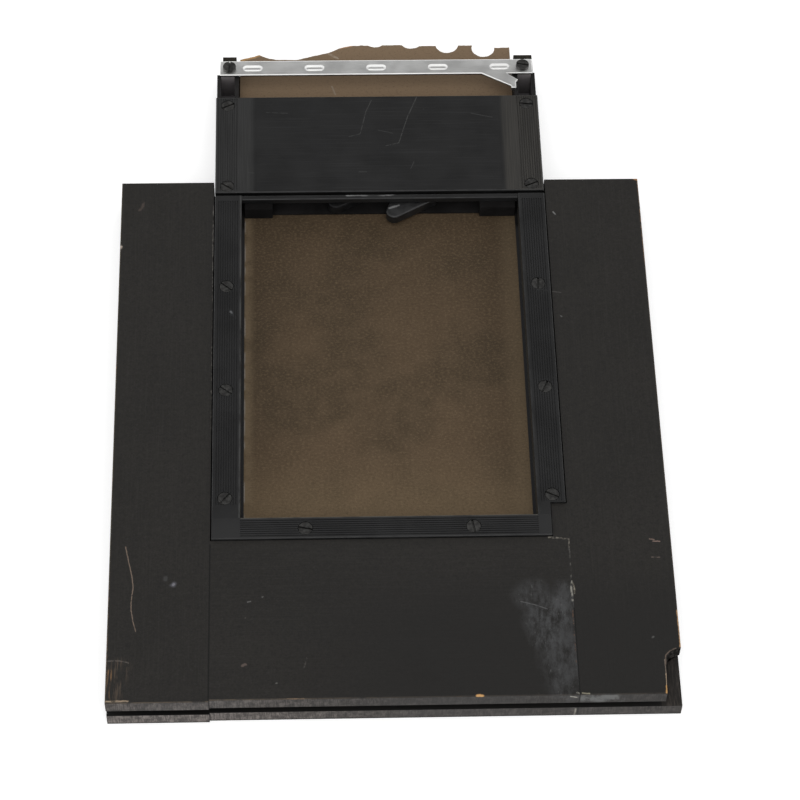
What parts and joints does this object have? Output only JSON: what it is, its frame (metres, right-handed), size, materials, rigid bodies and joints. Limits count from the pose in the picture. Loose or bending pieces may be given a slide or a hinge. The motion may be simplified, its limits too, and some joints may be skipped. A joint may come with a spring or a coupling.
{
  "type": "sheet film holder",
  "caption": "Sheet film holder in a grooved wooden adapter board: a light-tight frame with a picture window, a draw-out dark slide, a light trap and two turning levers.",
  "frame": {"origin": "under the centre of the picture window, on the flat back of the board and back plate", "axes": "+X to the right seen from the lens side, +Y the way the dark slide is drawn, +Z from the back towards the lens"},
  "size_m": [0.2342, 0.3522, 0.0203],
  "materials": {
    "painted_wood": "worn matt black paint on wood",
    "frame_black": "satin black, finely grooved",
    "channel_black": "matt black",
    "bare_aluminium": "satin, lengthwise brushed",
    "brown_fibre": "mottled brown fibre board",
    "lever_black": "moulded black",
    "velvet": "black pile",
    "screw_black": "blackened steel, rubbed on the edges",
    "spring_steel": "spring steel",
    "film": "emulsion",
    "inner_board": "black-stained hardboard",
    "bare_wood": "unpainted"
  },
  "bodies": {
    "root": {"left_stile": "painted_wood", "right_stile": "painted_wood", "board_bottom_rail": "painted_wood", "left_joint_spline": "bare_wood", "right_joint_spline": "bare_wood", "left_side_channel": "channel_black", "right_side_channel": "channel_black", "bottom_channel": "channel_black", "back_plate": "frame_black", "back_plate_screws": "screw_black", "left_end_block": "channel_black", "right_end_block": "channel_black", "left_screw_blocks": "channel_black", "right_screw_blocks": "channel_black", "left_frame_rail": "frame_black", "right_frame_rail": "frame_black", "bottom_frame_rail": "frame_black", "crossbar": "frame_black", "gate_plate": "channel_black", "left_corner_block": "channel_black", "right_corner_block": "channel_black", "trap_cover": "frame_black", "trap_bar": "inner_board", "trap_rear_bar": "inner_board", "front_velvet": "velvet", "rear_velvet": "velvet", "trap_leaf_spring": "spring_steel", "film_septum": "inner_board", "left_film_guide": "channel_black", "right_film_guide": "channel_black", "film_sheet": "film", "lever_pins": "screw_black", "end_strip": "bare_aluminium", "end_strip_screws": "screw_black", "frame_screws": "screw_black", "cover_screws": "screw_black"},
    "dark_slide": {"dark_slide": "brown_fibre"},
    "left_lever": {"left_lever": "lever_black"},
    "right_lever": {"right_lever": "lever_black"}
  },
  "joints": [
    {"name": "slide_draw", "type": "slide", "parent": "root", "child": "dark_slide", "axis": [0, 1, 0], "range_m": [0, 0.225]},
    {"name": "left_lever_turn", "type": "hinge", "parent": "root", "child": "left_lever", "pos_m": [-0.0099, 0.09, 0.0129], "axis": [0, 0, 1], "range_deg": [-11, 95]},
    {"name": "right_lever_turn", "type": "hinge", "parent": "root", "child": "right_lever", "pos_m": [0.0099, 0.09, 0.0129], "axis": [0, 0, 1], "range_deg": [-12, 95]}
  ]
}
